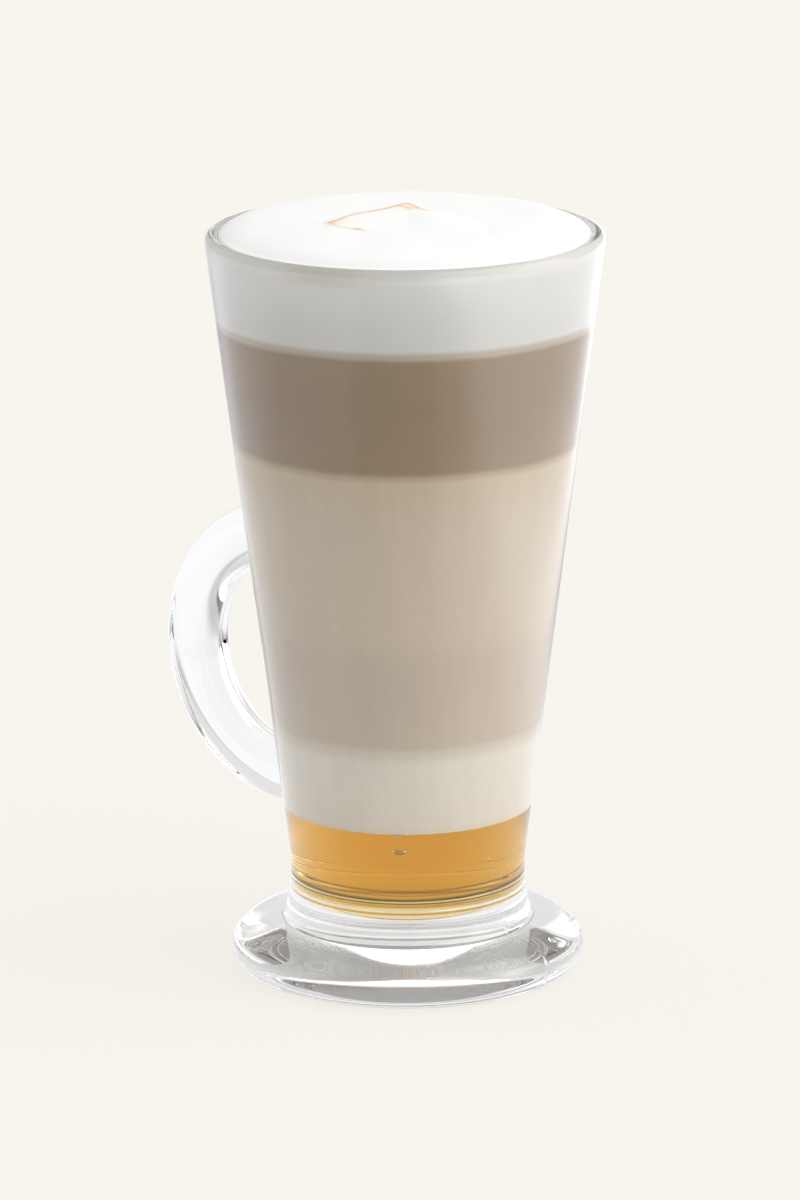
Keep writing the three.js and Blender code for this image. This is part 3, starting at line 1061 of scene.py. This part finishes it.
def light_table(studio, name, tint, glow, lamps, shade):
    """Opal acrylic lit from below: a white glow that changes to the sides, with a painted shadow round the
    foot and a painted pool of light under it.
    """
    material, tree, output = new_material(name)
    place = add_node(tree, "ShaderNodeTexCoord").outputs["Object"]
    seen = add_node(tree, "ShaderNodeMapping", {
        "Vector": place, "Location": (-AXIS_X, 0.0, 0.0)}, vector_type="POINT").outputs["Vector"]
    depth, end, spot = shade
    reach = add_node(tree, "ShaderNodeVectorMath", {0: seen}, operation="LENGTH").outputs["Value"]
    glow = add_node(tree, "ShaderNodeMapRange", {
        "Value": reach, "From Min": studio.shade_start, "From Max": end * MM,
        "To Min": glow - depth, "To Max": glow}, interpolation_type="SMOOTHSTEP").outputs["Result"]
    lit = add_node(tree, "ShaderNodeMapRange", {
        "Value": reach, "From Min": SPOT[0] * MM, "From Max": SPOT[1] * MM,
        "To Min": spot, "To Max": 0.0}, interpolation_type="SMOOTHSTEP").outputs["Result"]
    glow = add_node(tree, "ShaderNodeMath", {0: glow, 1: lit}, operation="ADD").outputs[0]
    glow = add_lamps(tree, studio, seen, glow, lamps, MM)
    bounce = add_node(tree, "ShaderNodeEmission", {"Color": (*tint, 1.0), "Strength": glow})
    tree.links.new(bounce.outputs["Emission"], output.inputs["Surface"])
    material.cycles.emission_sampling = "NONE"
    return material


# Light that the floor throws back at the glass: tint, strength, shade round the foot (how much it takes,
# radius in millimetres where it ends, how much the bright round adds), and more or less towards each
# direction (right, away) between two distances from the mug in millimetres.
FLOOR_TINT = (0.96, 0.975, 1.04)
FLOOR_GLOW = 0.98
FLOOR_SHADE = (0.0, 100.0, 0.0)
FLOOR_LAMPS = (
    ((1.0, 0.1), 30.0, 110.0, 0.5),
    ((1.0, 0.1), 110.0, 220.0, 1.35),
    ((1.0, 0.1), 280.0, 480.0, -0.22),
    ((-1.0, 0.3), 30.0, 110.0, 0.56),
    ((-1.0, 0.3), 110.0, 220.0, 0.12),
    ((-1.0, 0.3), 280.0, 480.0, 0.2),
    ((0.0, 1.0), 60.0, 300.0, -0.32),
    ((0.6, 0.8), 100.0, 300.0, -0.62),
    ((-0.6, 0.8), 100.0, 300.0, 0.11),
)
# The same for what shows through the glass.
BACK_TINT = (0.985, 0.995, 1.0)
BACK_GLOW = 0.94
BACK_SHADE = (0.15, 80.0, 0.5)
BACK_LAMPS = (
    ((-1.0, 0.0), 120.0, 300.0, -0.35),
    ((1.0, 0.0), 120.0, 300.0, -0.35),
    ((-1.0, -0.5), 200.0, 400.0, -0.45),
    ((1.0, -0.5), 200.0, 400.0, -0.45),
)
# Soft lamps round the mug as seen from it: direction in the camera's frame (right, away, up),
# cosine where the lamp fades out, cosine where it is full, and strength.
SOFT_LAMPS = (
    ((0.0, 0.1, 1.0), 0.55, 0.9, 0.33),
    ((0.8, -0.2, 0.8), 0.75, 0.93, 2.03),
    ((1.0, -0.1, 0.12), 0.85, 0.97, 1.26),
    ((0.7, -0.7, 0.3), 0.7, 0.93, 0.79),
    ((-0.9, 0.3, 0.2), 0.7, 0.92, 0.66),
)
AMBIENT = 0.73
SKY_TINT = (1.0, 0.99, 0.97, 1.0)
# Light is followed through this many faces, since the foot reflects it within the glass many times.
GLASS_BOUNCES = 20
# Radius of the floor in metres, and how far its planes lie under the foot and one another.
FLOOR_RADIUS = 8.0
FLOOR_STEP = 0.1 * MM


class LATTE_OT_add_stage(bpy.types.Operator):
    """Set the floor, the soft studio light and the camera"""
    bl_idname = "latte.add_stage"
    bl_label = "Add stage"

    def execute(self, context):
        studio = context.scene.latte_studio
        self.add_floor(studio)
        self.add_light(context.scene, studio)
        self.add_camera(context.scene, studio)
        context.scene.view_settings.view_transform = "Standard"
        for kind in ("max", "glossy", "transmission"):
            setattr(context.scene.cycles, kind + "_bounces", GLASS_BOUNCES)
        return {"FINISHED"}

    def add_floor(self, studio):
        """Cream paper in direct view, what shows through the glass, and what lights glass and drink."""
        planes = (
            ("studio_paper", "camera", cream_paper(studio)),
            ("backdrop", "transmission",
             light_table(studio, "backlit paper", BACK_TINT, BACK_GLOW, BACK_LAMPS, BACK_SHADE)),
            ("light_table", "diffuse glossy",
             light_table(studio, "lit opal acrylic", FLOOR_TINT, FLOOR_GLOW, FLOOR_LAMPS, FLOOR_SHADE)),
        )
        for level, (name, rays, material) in enumerate(planes):
            plane = self.add_plane(name, -(level + 1) * FLOOR_STEP, material)
            for ray in ("camera", "diffuse", "glossy", "transmission", "shadow"):
                setattr(plane, "visible_" + ray, ray in rays)

    def add_plane(self, name, height, material):
        """A wide round plane just under the foot."""
        work = bmesh.new()
        bmesh.ops.create_circle(work, cap_ends=True, segments=96, radius=FLOOR_RADIUS)
        bmesh.ops.translate(work, verts=work.verts, vec=(0.0, 0.0, height))
        mesh = bpy.data.meshes.new(name)
        work.to_mesh(mesh)
        work.free()
        mesh.materials.append(material)
        plane = mesh_object(name, mesh)
        return plane

    def add_light(self, scene, studio):
        """A pale room with soft lamps above, at the right and at the left."""
        world = bpy.data.worlds.new("soft studio")
        world.use_nodes = True
        scene.world = world
        tree = world.node_tree
        tree.nodes.clear()
        way = add_node(tree, "ShaderNodeTexCoord").outputs["Generated"]
        total = add_lamps(tree, studio, way, AMBIENT, SOFT_LAMPS)
        sky = add_node(tree, "ShaderNodeBackground", {"Color": SKY_TINT, "Strength": total})
        add_node(tree, "ShaderNodeOutputWorld", {"Surface": sky.outputs["Background"]})

    def add_camera(self, scene, studio):
        """The camera at the photograph's viewing angle."""
        data = bpy.data.cameras.new("camera")
        data.lens = studio.lens
        data.clip_end = 100.0
        camera = bpy.data.objects.new("camera", data)
        scene.collection.objects.link(camera)
        turn = Matrix.Rotation(studio.azimuth, 4, "Z")
        place = Matrix.Translation(Vector((AXIS_X, 0.0, 0.0))) @ turn @ Matrix.Translation(
            Vector((studio.side, -studio.distance, studio.height)))
        tilt = Matrix.Rotation(math.pi / 2 - studio.pitch, 4, "X")
        camera.matrix_world = place @ tilt @ Matrix.Rotation(studio.roll, 4, "Z")
        scene.camera = camera


OPERATORS = (
    LATTE_OT_add_stage,
    LATTE_OT_add_glass,
    LATTE_OT_add_syrup,
    LATTE_OT_add_bubbles,
    LATTE_OT_add_layers,
    LATTE_OT_add_foam,
)


class LATTE_PT_sidebar(bpy.types.Panel):
    """Lists the pieces of the latte and their sizes"""
    bl_idname = "LATTE_PT_sidebar"
    bl_label = "Layered latte"
    bl_space_type = "VIEW_3D"
    bl_region_type = "UI"
    bl_category = "Latte"

    def draw(self, context):
        for operator in OPERATORS:
            self.layout.operator(operator.bl_idname)
        for group_name, group in SETTINGS.items():
            box = self.layout.box()
            settings = getattr(context.scene, group_name)
            for name in group.__annotations__:
                box.prop(settings, name)


SETTINGS = {
    "latte_mug": MugSizes,
    "latte_drink": DrinkSettings,
    "latte_foam": FoamSizes,
    "latte_studio": StudioSettings,
}


def register():
    """Register the settings, the operators and the panel."""
    for group_name, group in SETTINGS.items():
        bpy.utils.register_class(group)
        setattr(bpy.types.Scene, group_name, PointerProperty(type=group))
    for cls in (*OPERATORS, LATTE_PT_sidebar):
        bpy.utils.register_class(cls)


def unregister():
    """Take away what register added."""
    for cls in (LATTE_PT_sidebar, *reversed(OPERATORS)):
        bpy.utils.unregister_class(cls)
    for group_name, group in reversed(SETTINGS.items()):
        delattr(bpy.types.Scene, group_name)
        bpy.utils.unregister_class(group)


def main():
    """Build every piece in order."""
    register()
    for operator in OPERATORS:
        group, name = operator.bl_idname.split(".")
        getattr(getattr(bpy.ops, group), name)()


if __name__ == "__main__":
    main()
